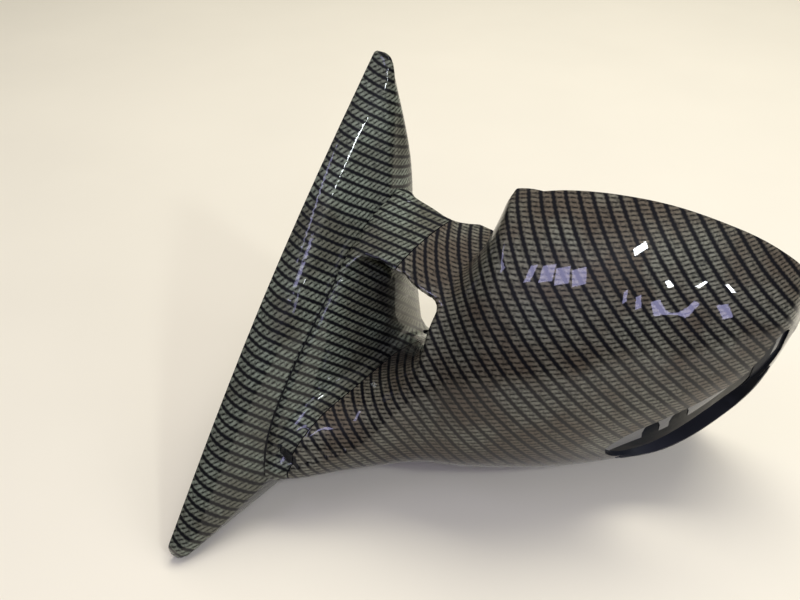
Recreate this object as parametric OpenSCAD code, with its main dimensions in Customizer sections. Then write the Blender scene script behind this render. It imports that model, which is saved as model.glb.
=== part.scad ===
// Door-mounted twin-arm mirror housing. The origin is the front lower tip of the
// mounting rim, +X points outboard, +Y rearward and +Z up, all in millimetres.

/* [Door base] */
// Length of the base along its bottom edge
base_len = 207; // [195:1:215]
// Height of the base's rear corner along the rim plane
base_height = 219; // [212:1:226]
// Height of the blunt front tip
tip_height = 11; // [8:0.5:14]
// Bow of the long front edge out of straight
edge_bow = 5.5; // [0:0.5:7]
// Rise of the base's crown over its rim plane
base_crown = 30; // [27:0.5:31]
// Wall of the base shell
base_wall = 3; // [2:0.1:3.6]
// Inset over which the side wall turns into the outer face
base_edge_r = 4; // [3:0.5:6]
// Lean of the rim plane from upright, top inboard
door_lean = 7.95; // [6:0.05:9]
// Turn of the rim plane from straight ahead
door_toe = 3.04; // [2:0.02:4]

/* [Base inside] */
// Thickness of the two cross ribs
rib_t = 2.6; // [1.6:0.1:4]
// Depth of the ribs' free edges below the rim plane
rib_setback = 4; // [2:0.5:7]
// Outer diameter of the door fixing bosses
boss_d = 14; // [13:0.5:17]
// Outer diameter of the threaded inserts
insert_d = 8; // [7.5:0.1:9]
// Bore of the threaded inserts
insert_bore = 5; // [4:0.1:6]
// Length of the threaded inserts
insert_len = 9; // [7:0.5:10]
// Depth of the boss mouths below the rim plane
boss_setback = 1; // [0.5:0.1:2]

/* [Foot] */
// Thickness of the gasket between base and foot
gasket_t = 1.2; // [0.8:0.1:1.8]
// Thickness of the foot's plate on the gasket
plate_t = 2.6; // [2:0.2:3.6]
// Place of the parting plane at the foot's front corner
part_x = 31; // [29.5:0.5:33]
// Slope of the parting plane, outboard for each millimetre rearward
part_slope = 0.12; // [0.1:0.01:0.14]
// Gap at the parting plane
part_gap = 0.6; // [0.4:0.1:1]
// Shank diameter of the foot screws
screw_d = 5; // [4:0.1:6]
// Head diameter of the foot screws
screw_head_d = 9; // [8:0.5:11]
// Thickness of the foot screws' heads
screw_head_t = 3; // [2:0.2:3.6]
// Length of the foot screws under the head
screw_len = 17; // [15:0.5:17.5]
// Diameter of the pads under the screw heads
pad_d = 19; // [16:0.5:22]

/* [Head] */
// Reach of the head's tip outboard
head_reach = 221; // [216:1:226]
// Height of the head's crest
head_top = 179; // [176:1:183]
// Distance of the arms' rear plane ahead of the base's rear end
arm_setback = 10; // [8:0.5:11]
// Wall of the head shell
head_wall = 2.8; // [2.2:0.1:3.4]
// Height of the upper arm at its root
arm_top = 150; // [148:1:153]
// Height of the upper arm where it meets the ear
arm_top_out = 139; // [137:1:141]
// Place of the ear's inboard face at the rear rim
ear_x = 73; // [71:0.5:75]
// Distance of the rear rim behind the arms' rear plane, at the ear
rim_back = 4; // [2.4:0.2:6]
// Sweep of the rear rim, rearward for each millimetre outboard
rim_sweep = 0.53; // [0.5:0.01:0.56]
// Lean of the rear rim, forward for each millimetre up
rim_lean = 0.19; // [0.17:0.01:0.22]

/* [Lamp slot] */
// Depth of the lamp's seat below the skin
seat_depth = 1.8; // [1.2:0.1:2]

/* [Fold hinge] */
// Radius of the hinge tongues, which sets the fold axis ahead of the arms' rear plane
tongue_r = 9; // [8:0.5:10]
// Diameter of the hinge pins
pin_d = 6; // [5:0.1:7]
// Radial clearance of a pin in its turning bore
pin_clear = 0.08; // [0.05:0.01:0.1]
// Clearance round the tongues
knuckle_gap = 0.5; // [0.4:0.1:0.8]
// Depth of the upper tongue's lower face below the arm's top
upper_tongue_drop = 16.7; // [15.7:0.1:17.2]
// Thickness of the upper tongue
upper_tongue_h = 5; // [4:0.5:6]
// Height of the lower tongue's lower face
lower_tongue_z = 28; // [26:0.5:30]
// Thickness of the lower tongue
lower_tongue_h = 12; // [8:0.5:13]
// Thickness of the thrust washers
washer_t = 1; // [0.8:0.1:1.4]
// Thickness of one disc spring
spring_t = 0.9; // [0.7:0.1:1.2]
// Thickness of the pin caps
cap_t = 2; // [1.5:0.1:2.5]

/* [Hidden] */
film = "#3a3826";
bare_plastic = "#1a1d22";
rubber_black = "#111111";
zinc = "#9a9a96";
brass_yellow = "#b08d45";

// Rim plane axes: a rearward along the bottom edge, b up, d outboard
axis_a = [sin(door_toe), cos(door_toe), 0];
axis_b = [-cos(door_toe) * sin(door_lean), sin(door_toe) * sin(door_lean), cos(door_lean)];
axis_d = [cos(door_toe) * cos(door_lean), -sin(door_toe) * cos(door_lean), sin(door_lean)];
module on_door() { rotate([90 - door_lean, 0, 90 - door_toe]) children(); }

// Outline of the base, as corner arcs and straight or bowed sides
tip_r = 4;
foot_corner_r = 13;
top_r = 3.5;
crown_at = [base_len * 0.695, base_height * 0.285];
crown_run = 62;
function arc(c, r, a0, a1, n) = [for (i = [0:n]) let (t = a0 + (a1 - a0) * i / n) c + r * [cos(t), sin(t)]];
function side(p, q, n, bow = 0) =
    let (out = [q[1] - p[1], p[0] - q[0]] / norm(q - p))
    [for (i = [1:n - 1]) p + (q - p) * i / n + out * bow * sin(180 * i / n)];
long_angle = atan2(base_height - tip_height, base_len);
rear_arc = arc([base_len - foot_corner_r, foot_corner_r], foot_corner_r, -90, 0, 4);
top_arc = arc([base_len - top_r, base_height - top_r], top_r, 0, 90 + long_angle, 4);
tip_arc = arc([tip_r, tip_height - tip_r], tip_r, 90 + long_angle, 180, 2);
outline = concat(
    [[0, 0]], side([0, 0], rear_arc[0], 8), rear_arc,
    side(rear_arc[4], top_arc[0], 9), top_arc,
    side(top_arc[4], tip_arc[0], 11, edge_bow), tip_arc);

// Height of the side wall at an outline point: low at the tips, high along the edges
function bell(x, at, w) = exp(-pow((x - at) / w, 2));
function wall_height(p) =
    7 + 8.5 * bell(p[0] + p[1], (base_len + base_height) * 0.47, 105) * (p[1] > p[0] * 0.6 ? 1 : 0.15)
      + 10 * bell(p[0], base_len, 14) * bell(p[1], base_height * 0.76, 48);

// The domed outer face: rings of the outline drawn in towards the crown
wall_draft = 1.2;
dome_rings = [[0, 0], [wall_draft, 1], [wall_draft + 0.3 * base_edge_r, 2],
              [wall_draft + base_edge_r, 3], [15, 3], [27, 3], [44, 3]];
function dome_rise(p, inset, grow) =
    let (h = wall_height(p), q = inset / crown_run)
    h + (base_crown - h) * (1 - (1 - q) * (1 - q)) + grow;
function dome_point(p, ring, shrink, grow, floor_d) =
    let (inset = ring[0] + shrink, s = 1 - inset / crown_run, xy = crown_at + (p - crown_at) * s,
         rise = dome_rise(p, max(0, ring[0]), grow),
         d = ring[1] == 0 ? floor_d
           : ring[1] == 1 ? rise - base_edge_r * 0.8
           : ring[1] == 2 ? rise - base_edge_r * 0.32
           : rise)
    [xy[0], xy[1], d];
module dome(shrink = 0, grow = 0, floor_d = 0) {
    n = len(outline);
    m = len(dome_rings);
    points = concat(
        [for (ring = dome_rings, p = outline) dome_point(p, ring, shrink, grow, floor_d)],
        [[crown_at[0], crown_at[1], base_crown + grow], [crown_at[0], crown_at[1], floor_d]]);
    faces = concat(
        [for (i = [0:n - 1]) [(i + 1) % n, i, m * n + 1]],
        [for (j = [0:m - 2], i = [0:n - 1]) let (k = (i + 1) % n) [j * n + i, j * n + k, (j + 1) * n + k]],
        [for (j = [0:m - 2], i = [0:n - 1]) let (k = (i + 1) % n) [j * n + i, (j + 1) * n + k, (j + 1) * n + i]],
        [for (i = [0:n - 1]) [(m - 1) * n + i, (m - 1) * n + (i + 1) % n, m * n]]);
    polyhedron(points, [for (f = faces) [for (i = [len(f) - 1:-1:0]) f[i]]]);
}

// Places on the rim plane: foot screws, door bosses and the two cross ribs
foot_screw_at = [[base_len - 27, arm_top - 18], [base_len - 125, 33], [base_len - 31, 44]];
door_boss_at = [[base_len - 18, 17], [base_len - 18, base_height * 0.42], [base_len * 0.57, 17]];
rib_lines = [[[base_len - 59, base_height * 0.69], [base_len + 3, base_height * 0.425]],
             [[base_len * 0.343, base_height * 0.333], [base_len * 0.546, -4]]];
screw_seat_d = 14.5;

module cross_rib(line) {
    run = line[1] - line[0];
    translate([line[0][0], line[0][1], rib_setback])
        rotate([0, 0, atan2(run[1], run[0])])
            translate([0, -rib_t / 2, 0]) cube([norm(run), rib_t, base_crown]);
}

module sail_base() {
    color(film) on_door() difference() {
        union() {
            difference() {
                dome(floor_d = -2);
                dome(shrink = base_wall, grow = -base_wall, floor_d = -4);
            }
            intersection() {
                union() {
                    for (line = rib_lines) cross_rib(line);
                    for (p = door_boss_at)
                        translate([p[0], p[1], boss_setback]) cylinder(d = boss_d, h = base_crown, $fn = 40);
                    for (p = foot_screw_at)
                        translate([p[0], p[1], screw_seat_d]) cylinder(d = pad_d, h = base_crown, $fn = 40);
                }
                dome(shrink = base_wall / 2, grow = -base_wall / 2);
            }
        }
        for (p = door_boss_at)
            translate([p[0], p[1], boss_setback - 1]) cylinder(d = insert_d, h = insert_len + 1, $fn = 48);
        for (p = foot_screw_at)
            translate([p[0], p[1], 0]) cylinder(d = screw_d + 0.6, h = base_crown + 10, $fn = 40);
        // The rim is cut off flat where it meets the door
        translate([-20, -20, -10]) cube([base_len + 40, base_height + 40, 10]);
    }
}

module threaded_inserts() {
    color(brass_yellow) on_door() for (p = door_boss_at)
        translate([p[0], p[1], boss_setback]) difference() {
            cylinder(d = insert_d, h = insert_len, $fn = 48);
            translate([0, 0, -1]) cylinder(d = insert_bore, h = insert_len + 2, $fn = 48);
        }
}

// The outer skin of foot, arms and head: one surface lofted outboard through named
// sections. Each row holds distance outboard, then place of the crest line and of the
// nose behind the arms' rear plane, height of nose, top and bottom, fullness above and
// below the nose, and rear end of the section behind the arms' rear plane.
skin_rows = [
    [10, -17, -145, 32, arm_top, 27, 1.25, 3, 0],
    [part_x, -12, -136, 34, arm_top - 3, 19, 1.5, 3, 0],
    [52, -7, -115, 43, arm_top - 6, 12, 1.8, 2.7, 0],
    [78, 7, -88, 46, head_top - 10, 8, 1.7, 2.4, 53],
    [107, 25, -76, 58, head_top, 3, 1.7, 2.2, 93],
    [145, 45, -49, 70, head_top - 2, 0, 1.62, 2.1, 113],
    [head_reach - 41, 60, -10, 79, head_top - 13, 10, 1.4, 2.1, 123],
    [head_reach - 15, 70, 26, 92, head_top - 33, 53, 1.55, 2.2, 128],
    [head_reach - 4, 72, 43, 101, head_top - 49, 76, 1.8, 2.1, 128],
    [head_reach, 73, 54, 107, head_top - 66, 101, 2, 2, 128]];
last_row = len(skin_rows) - 1;

// A smooth value between rows, with tangents from the neighbouring rows
function row_value(k, u) =
    let (i = min(last_row - 1, max(0, floor(u))), t = u - i,
         a = skin_rows[i][k], b = skin_rows[i + 1][k],
         ma = i == 0 ? b - a : (b - skin_rows[i - 1][k]) / 2,
         mb = i == last_row - 1 ? b - a : (skin_rows[i + 2][k] - a) / 2)
    (2 * t * t * t - 3 * t * t + 1) * a + (t * t * t - 2 * t * t + t) * ma
    + (3 * t * t - 2 * t * t * t) * b + (t * t * t - t * t) * mb;
arm_back = base_len - arm_setback;
function arm_height(x) = let (t = min(1, max(0, (x - 18) / 54))) arm_top + (arm_top_out - arm_top) * (2 * t - t * t);
function ease(a, b, x) = let (t = min(1, max(0, (x - a) / (b - a)))) t * t * (3 - 2 * t);

// Top of the section: the arm's top runs into the head in a step, the ear, which is
// steep at the rear rim and fades out towards the nose
function section_top(u, x, v) =
    let (w = lookup(v, [[0, 60], [30, 50], [60, 26], [78, 10], [90, 8]]),
         at = lookup(v, [[0, ear_x + 12], [60, ear_x + 6], [78, ear_x + 3], [90, ear_x + 2]]),
         arm = arm_height(x), head = row_value(4, u), k = ease(at - w / 2, at + w / 2, x))
    x > 110 ? head : arm * (1 - k) + max(head, arm) * k;

// Point of the skin at row u and angle v: 0 is the nose, 90 the top, -90 the bottom
function skin(u, v) =
    let (x = row_value(0, u), yc = row_value(1, u), yf = row_value(2, u), zf = row_value(3, u),
         zb = row_value(5, u), front = abs(v) <= 90,
         n = front ? (v >= 0 ? row_value(6, u) : row_value(7, u)) : 3.2,
         c = pow(abs(cos(v)), 2 / n), s = sign(sin(v)) * pow(abs(sin(v)), 2 / n),
         zt = section_top(u, x, front ? abs(v) : 90),
         reach = front ? yf - yc : row_value(8, u) - yc)
    [x, arm_back + yc + reach * c, zf + (s >= 0 ? (zt - zf) * s : (zf - zb) * s)];
function unit(p) = p / max(norm(p), 0.000001);
function skin_normal(u, v) =
    let (h = 0.02, g = 1.5)
    unit(cross(skin(min(u + h, last_row), v) - skin(max(u - h, 0), v), skin(u, v + g) - skin(u, v - g)));
function inside_skin(u, v, t) = skin(u, v) - t * skin_normal(u, v);

// A closed loft from rings of equal length, each end closed by zipping the ring's two sides
module loft(rings) {
    n = len(rings[0]);
    m = len(rings);
    half = floor(n / 2);
    polyhedron([for (r = rings, p = r) p], concat(
        [for (i = [0:half - 1], k = [0, 1]) if (n - 2 - i > i + 1 || (k == 0 && n - 1 - i > i + 1))
            k == 0 ? [i, i + 1, n - 1 - i] : [i + 1, n - 2 - i, n - 1 - i]],
        [for (j = [0:m - 2], i = [0:n - 1]) let (k = (i + 1) % n) [j * n + i, (j + 1) * n + k, j * n + k]],
        [for (j = [0:m - 2], i = [0:n - 1]) let (k = (i + 1) % n) [j * n + i, (j + 1) * n + i, (j + 1) * n + k]],
        [for (i = [0:half - 1], k = [0, 1]) if (n - 2 - i > i + 1 || (k == 0 && n - 1 - i > i + 1)) let (e = (m - 1) * n)
            k == 0 ? [e + i + 1, e + i, e + n - 1 - i] : [e + n - 2 - i, e + i + 1, e + n - 1 - i]]));
}

function each_of(range) = [for (v = range) v];
skin_angles = concat(each_of([-90:9:90]), [105, 130, 180, 230, 255]);
skin_steps = concat(each_of([0:0.5:2.5]), each_of([2.7:0.1:3.4]),
                    each_of([3.6:0.3:6.9]), each_of([7.1:0.3:8.6]), [8.8, 9]);
function signed(v) = v > 180 ? v - 360 : v < -180 ? v + 360 : v;
module skin_solid() {
    loft([for (u = skin_steps) [for (v = skin_angles) skin(u, signed(-v))]]);
}

// Everything behind both the arms' back plane and the swept rear rim
rim_heading = atan(rim_sweep);
rim_tilt = atan(rim_lean * cos(rim_heading));
module half_space() { far = 400; translate([-far, 0, -far]) cube([2 * far, far, 2 * far]); }
module behind_rim() {
    intersection() {
        translate([0, arm_back, 0]) half_space();
        translate([ear_x, arm_back + rim_back, 90]) rotate([rim_tilt, 0, rim_heading]) half_space();
    }
}

module outer_form() { difference() { skin_solid(); behind_rim(); } }

// The head's inner face: the skin moved in by the wall, from the inboard end on
cavity_steps = concat([3.3, 3.5], each_of([3.8:0.4:7.8]), [8.2, 8.5]);
cavity_angles = concat(each_of([-90:15:90]), [120, 180, 240]);
module cavity() {
    loft([for (u = cavity_steps) [for (v = cavity_angles) inside_skin(u, signed(-v), head_wall)]]);
}

// The space between the arms: rings across the car's length, front to rear. Each row
// holds place behind the arms' rear plane, then height of the floor at the foot,
// outboard end of the floor and its height there, and outboard face of the space. Its
// roof lies one arm's thickness below the upper arm's top, and falls away outboard.
gap_rows = [
    [-149, 33, 22, 28, 96],
    [-139, 40, 29, 36, 96],
    [-124, 53, 41, 43, 96],
    [-111, 60, 53, 49, 95],
    [-100, 63, 61, 59, 92],
    [-91, 64, 65, 70, 88],
    [-81, 65, 68, 80, 83],
    [-73, 66, 69, 89, 76],
    [-64, 67, 67, 91, 71],
    [-51, 68, 63, 88, 69],
    [-33, 64, 60, 80, 68],
    [-15, 56, 59, 72, 67],
    [3, 47, 59, 64, 67],
    [19, 42, 59, 60, 68]];
gap_inboard = 4;
gap_floor_from = 34;
upper_arm_t = 10.6;
function gap_roof(x, y) =
    arm_height(max(x, 33)) - upper_arm_t - 0.33 * (max(x, 33) - 42) - 0.9 * max(0, 28 - x) - 0.32 * max(0, y + 54);
function gap_floor(row, x) =
    let (t = min(1, max(0, (x - gap_floor_from) / max(1, row[2] - gap_floor_from))))
    row[1] + (row[3] - row[1]) * (row[2] > gap_floor_from + 1 ? pow(t, 1.6) : 1);
function gap_ring(row) =
    let (y = row[0], xs = [for (i = [0:7]) gap_inboard + (row[2] - gap_inboard) * i / 7],
         wall = [for (t = [0.15, 0.45, 0.75]) let (x = row[2] + (row[4] - row[2]) * sin(90 * t),
                 low = row[3], high = max(low + 1, gap_roof(row[4], y)))
                 [x, arm_back + y, low + (high - low) * (1 - cos(90 * t))]])
    concat([for (x = xs) [x, arm_back + y, gap_floor(row, x)]], wall,
           [for (t = [0, 0.35, 0.7, 0.82, 1]) let (x = row[4] + (gap_inboard - row[4]) * t)
               [x, arm_back + y, max(row[3] + 2, gap_roof(x, y))]]);
module arm_gap() { loft([for (i = [len(gap_rows) - 1:-1:0]) gap_ring(gap_rows[i])]); }

// The lamp's seat: a crescent band of the skin, and the slot through its lower part.
// Each row holds place along the skin, then lower and upper edge as skin angles.
seat_rows = [
    [5.52, -25, -21], [5.65, -31, -15], [5.85, -35, -11], [6.1, -37.5, -8], [6.4, -39, -6],
    [6.7, -40, -4.5], [7.0, -40, -4], [7.3, -39, -3], [7.5, -37, 4], [7.7, -34, 20], [7.9, -31, 31],
    [8.1, -28, 36]];
slot_rows = [
    [5.6, -27, -23], [5.85, -34, -19], [6.1, -37, -17], [6.4, -38.5, -16], [6.7, -39.5, -15],
    [7.0, -39.5, -14], [7.25, -38, -13], [7.4, -34, -14]];
notch_rows = [[5.98, 6.12], [6.3, 6.42]];
module skin_band(rows, above, below) {
    steps = 6;
    loft([for (r = rows) let (vs = [for (i = [0:steps]) r[1] + (r[2] - r[1]) * i / steps]) concat(
        [for (i = [steps:-1:0]) inside_skin(r[0], vs[i], -above)],
        [for (i = [0:steps]) inside_skin(r[0], vs[i], below)])]);
}
module lamp_cuts() {
    skin_band(seat_rows, 3, seat_depth);
    skin_band(slot_rows, 3, head_wall + 4);
    for (n = notch_rows) skin_band([[n[0], -22, -12], [n[1], -22, -12]], 0.5, head_wall + 4);
}

// The parting plane. Behind the fold axis it turns into a barrel round the axis, so
// that the head can swing rearward.
part_y = arm_back - 139;
module outboard_of_parting(gap) {
    translate([part_x, part_y, 0]) rotate([0, 0, -atan(part_slope)])
        translate([gap, -300, -60]) cube([500, 700, 400]);
}
barrel_r = 10;
hinge_y = arm_back - tongue_r;
hinge_x = part_x + part_slope * (hinge_y - part_y) - barrel_r;
module at_hinge(z) { translate([hinge_x, hinge_y, z]) children(); }
module head_side(gap) {
    difference() {
        outboard_of_parting(gap);
        at_hinge(-60) cylinder(r = barrel_r + gap, h = 320, $fn = 96);
    }
}
module foot_side(gap) {
    far = 300;
    difference() {
        translate([-far, -far, -60]) cube([2 * far, 2 * far, 320]);
        difference() {
            outboard_of_parting(-gap);
            at_hinge(-60) cylinder(r = barrel_r - gap, h = 320, $fn = 96);
        }
        // Behind the axis and outboard of it, only the barrel remains
        difference() {
            at_hinge(-60) cube([far, far, 320]);
            at_hinge(-60) cylinder(r = barrel_r - gap, h = 320, $fn = 96);
        }
    }
}

// One hinge in each arm: the head's tongue turns between the foot's two ears. Each
// row holds the tongue's lower face, its height, and the room above it.
upper_tongue_z = arm_height(hinge_x) - upper_tongue_drop;
run_gap = 0.3;
spring_room = 2 * spring_t + 1.4;
hinges = [[upper_tongue_z, upper_tongue_h, run_gap], [lower_tongue_z, lower_tongue_h, spring_room + run_gap]];

// The pins: shank ends and cap seats
cap_d = pin_d + 5;
upper_pin_foot = upper_tongue_z - washer_t - run_gap - 4;
upper_pin_len = upper_tongue_z + upper_tongue_h + 3 - upper_pin_foot;
lower_pin_foot = lower_tongue_z - 8;
lower_cap_seat = lower_tongue_z + lower_tongue_h + spring_room + run_gap + 5;

module tongue_slot(h) {
    z0 = h[0] - washer_t - run_gap;
    high = washer_t + run_gap + h[1] + h[2];
    at_hinge(z0) {
        cylinder(r = tongue_r + knuckle_gap, h = high, $fn = 96);
        translate([0, -tongue_r - knuckle_gap, 0]) cube([60, 60, high]);
        translate([-tongue_r - 4, 0, 0]) cube([60, 60, high]);
    }
}
module tongue(h) {
    at_hinge(h[0]) {
        cylinder(r = tongue_r, h = h[1], $fn = 96);
        translate([0, -tongue_r, 0]) cube([barrel_r + 6, 2 * tongue_r, h[1]]);
    }
}

module foot() {
    color(film) difference() {
        union() {
            difference() {
                intersection() { outer_form(); foot_side(part_gap / 2); }
                arm_gap();
            }
            intersection() {
                outer_form();
                foot_side(part_gap / 2);
                on_door() dome(grow = gasket_t + plate_t, floor_d = 1);
            }
        }
        on_door() dome(grow = gasket_t, floor_d = -60);
        for (h = hinges) tongue_slot(h);
        at_hinge(upper_pin_foot) cylinder(d = pin_d, h = upper_pin_len, $fn = 64);
        at_hinge(lower_pin_foot) cylinder(d = pin_d, h = 60, $fn = 64);
        at_hinge(lower_cap_seat) cylinder(r = cap_d / 2 + 0.4, h = 40, $fn = 64);
        at_hinge(upper_pin_foot - 40) cylinder(r = cap_d / 2 + 0.4, h = 40, $fn = 64);
        on_door() for (p = foot_screw_at)
            translate([p[0], p[1], screw_seat_d]) cylinder(d = screw_d, h = screw_len, $fn = 48);
    }
}
module base_gasket() {
    color(rubber_black) difference() {
        intersection() {
            outer_form();
            foot_side(part_gap / 2);
            on_door() dome(grow = gasket_t, floor_d = 1);
        }
        on_door() dome(floor_d = -60);
        on_door() for (p = foot_screw_at)
            translate([p[0], p[1], 0]) cylinder(d = screw_d + 0.6, h = base_crown + 20, $fn = 48);
    }
}

module foot_screws() {
    color(zinc) on_door() for (p = foot_screw_at) translate([p[0], p[1], screw_seat_d]) difference() {
        union() {
            cylinder(d = screw_d, h = screw_len, $fn = 48);
            translate([0, 0, -screw_head_t]) cylinder(d = screw_head_d, h = screw_head_t, $fn = 48);
        }
        translate([0, 0, -screw_head_t - 1]) cylinder(d = screw_d * 0.7, h = 2.6, $fn = 6);
    }
}

module head_shell() {
    color(film) difference() {
        union() {
            difference() {
                intersection() { outer_form(); head_side(part_gap / 2); }
                arm_gap();
            }
            intersection() {
                outer_form();
                for (h = hinges) tongue(h);
            }
        }
        cavity();
        lamp_cuts();
        at_hinge(0) cylinder(r = pin_d / 2 + pin_clear, h = 200, $fn = 64);
    }
}

module upper_pivot_pin() {
    color(zinc) at_hinge(upper_pin_foot) {
        cylinder(d = pin_d, h = upper_pin_len, $fn = 64);
        translate([0, 0, -cap_t]) cylinder(d = cap_d, h = cap_t, $fn = 64);
    }
}
module lower_pivot_pin() {
    color(zinc) at_hinge(lower_pin_foot) {
        cylinder(d = pin_d, h = lower_cap_seat - lower_pin_foot, $fn = 64);
        translate([0, 0, lower_cap_seat - lower_pin_foot]) cylinder(d = cap_d, h = cap_t, $fn = 64);
    }
}
module ring(d_in, d_out, t) {
    difference() {
        cylinder(d = d_out, h = t, $fn = 64);
        translate([0, 0, -1]) cylinder(d = d_in, h = t + 2, $fn = 64);
    }
}
module thrust_washers() {
    color(zinc) for (h = hinges) at_hinge(h[0] - washer_t - run_gap) ring(pin_d + 0.4, tongue_r * 1.7, washer_t);
}
// Two disc springs stacked rim to rim, each a dished ring
module disc_springs() {
    rise = spring_room / 2 - spring_t;
    r0 = pin_d / 2 + 0.3;
    r1 = tongue_r * 0.8;
    z0 = hinges[1][0] + hinges[1][1] + run_gap;
    color(zinc) for (k = [0, 1]) at_hinge(z0 + k * spring_room) mirror([0, 0, k])
        rotate_extrude($fn = 64)
            polygon([[r0, 0], [r1, rise], [r1, rise + spring_t], [r0, spring_t]]);
}

sail_base();
base_gasket();
threaded_inserts();
foot();
foot_screws();
head_shell();
upper_pivot_pin();
lower_pivot_pin();
thrust_washers();
disc_springs();
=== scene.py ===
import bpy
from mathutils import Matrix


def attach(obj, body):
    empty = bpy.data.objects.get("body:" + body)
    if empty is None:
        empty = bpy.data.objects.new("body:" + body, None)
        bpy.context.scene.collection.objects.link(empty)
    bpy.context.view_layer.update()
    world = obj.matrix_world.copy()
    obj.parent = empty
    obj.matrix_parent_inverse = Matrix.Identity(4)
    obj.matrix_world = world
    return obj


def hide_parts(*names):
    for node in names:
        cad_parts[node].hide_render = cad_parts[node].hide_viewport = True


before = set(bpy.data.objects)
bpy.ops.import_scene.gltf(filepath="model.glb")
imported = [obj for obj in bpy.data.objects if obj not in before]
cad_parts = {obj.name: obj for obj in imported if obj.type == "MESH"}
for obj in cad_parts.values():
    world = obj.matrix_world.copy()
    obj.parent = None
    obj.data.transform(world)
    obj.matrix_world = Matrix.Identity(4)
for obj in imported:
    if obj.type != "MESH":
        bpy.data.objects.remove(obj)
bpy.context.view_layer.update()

# The viewpoint: a camera above and in front of the housing, at the photograph's place
# and angle. Sizes are millimetres in the part's frame and become metres at the end.
import bpy
import math
import numpy as np
from mathutils import Matrix, Vector

mm = 0.001
turn, drop = math.radians(38.2), math.radians(38.2)
towards_camera = Vector((math.sin(turn) * math.cos(drop), -math.cos(turn) * math.cos(drop), math.sin(drop)))
camera_right = Vector((math.cos(turn), math.sin(turn), 0))
camera_up = towards_camera.cross(camera_right)
camera_data = bpy.data.cameras.new("camera")
camera_data.lens = 31.5
camera_data.sensor_width = 36
camera_data.clip_start = 0.01
camera = bpy.data.objects.new("camera", camera_data)
bpy.context.scene.collection.objects.link(camera)
axes = Matrix((camera_right, camera_up, towards_camera)).transposed().to_4x4()
camera.matrix_world = Matrix.Translation(Vector((230, -91, 347)) * mm) @ axes
bpy.context.scene.camera = camera


# Foot and head, outer form: two ABS mouldings that share one flowing skin, run outboard
# through ten sections. The skin is found as the zero of a distance-like function, so that
# the arms, the dish between them and the rounded edges run into each other without a crease.
sections = np.array([
    # outboard, crest y, nose y, nose z, top z, bottom z, fullness up, down, rear reach
    [10, 180, 52, 32, 150, 27, 1.25, 3.0, 197],
    [31, 185, 61, 34, 147, 19, 1.5, 3.0, 197],
    [52, 190, 82, 43, 144, 12, 1.8, 2.7, 197],
    [78, 204, 109, 46, 169, 8, 1.7, 2.4, 250],
    [107, 222, 121, 58, 179, 3, 1.7, 2.2, 290],
    [145, 242, 148, 70, 177, 0, 1.62, 2.1, 310],
    [180, 257, 187, 79, 166, 10, 1.4, 2.1, 320],
    [206, 267, 223, 92, 146, 53, 1.55, 2.2, 325],
    [217, 269, 240, 101, 130, 76, 1.8, 2.1, 325],
    [221, 270, 251, 107, 113, 101, 2.0, 2.0, 325]])


def between_rows(rows, u):
    """Smooth values between rows, with each row's slope taken from its neighbours."""
    last = len(rows) - 1
    i = np.clip(np.floor(u).astype(int), 0, last - 1)
    t = (u - i)[:, None]
    a, b = rows[i], rows[i + 1]
    slope_a = np.where((i == 0)[:, None], b - a, (b - rows[np.maximum(i - 1, 0)]) / 2)
    slope_b = np.where((i == last - 1)[:, None], b - a, (rows[np.minimum(i + 2, last)] - a) / 2)
    return ((2 * t**3 - 3 * t**2 + 1) * a + (t**3 - 2 * t**2 + t) * slope_a
            + (3 * t**2 - 2 * t**3) * b + (t**3 - t**2) * slope_b)


def ease(a, b, x):
    t = np.clip((x - a) / (b - a), 0, 1)
    return t * t * (3 - 2 * t)


last_row = len(sections) - 1
section_table = between_rows(sections, np.linspace(0, last_row, 1801))
ear_x, outboard_end, inboard_end, rear_end = 73, 220.6, 6, 296


def section_at(x):
    return [np.interp(x, section_table[:, 0], section_table[:, k]) for k in range(1, 9)]


def arm_height(x):
    t = np.clip((x - 18) / 54, 0, 1)
    return 150 - 11 * (2 * t - t * t)


def top_of_section(x, v, head_top):
    """The arm's top runs into the head in a step, the ear: steep behind, faint in front."""
    width = np.interp(v, [0, 30, 60, 78, 90], [60, 50, 26, 10, 8])
    at = np.interp(v, [0, 60, 78, 90], [ear_x + 12, ear_x + 6, ear_x + 3, ear_x + 2])
    arm, k = arm_height(x), ease(at - width / 2, at + width / 2, x)
    return np.where(x > 110, head_top, arm * (1 - k) + np.maximum(head_top, arm) * k)


def skin_level(p):
    x, y, z = p[:, 0], p[:, 1], p[:, 2]
    crest, nose_y, nose_z, head_top, bottom, full_up, full_down, rear = section_at(x)
    front, above = y < crest, z >= nose_z
    n = np.where(front, np.where(above, full_up, full_down), 3.2)
    c = np.where(front, (crest - y) / (crest - nose_y), (y - crest) / (rear - crest))
    v = np.degrees(np.arccos(np.clip(np.clip(c, 0, 1) ** (n / 2), 0, 1)))
    top = top_of_section(x, np.where(front, v, 90), head_top)
    s = np.where(above, (z - nose_z) / (top - nose_z), (nose_z - z) / (nose_z - bottom))
    return (np.abs(c) ** n + np.abs(s) ** n) ** (1 / n) - 1


def as_distance(level, p, h=0.05):
    """Divides a level function by its slope, which makes it a distance near its zero."""
    value = level(p)
    slope = sum(((level(p + step) - value) / h) ** 2 for step in np.eye(3) * h)
    return np.clip(value / np.maximum(np.sqrt(slope), 1e-4), -60, 60)


def round_max(a, b, r):
    """The larger of two distances, with a round of radius r where they meet."""
    h = np.maximum(r - np.abs(a - b), 0) / r
    return np.maximum(a, b) + h * h * r * 0.25


def skin(p):
    return round_max(as_distance(skin_level, p), p[:, 0] - outboard_end, 5)


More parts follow.
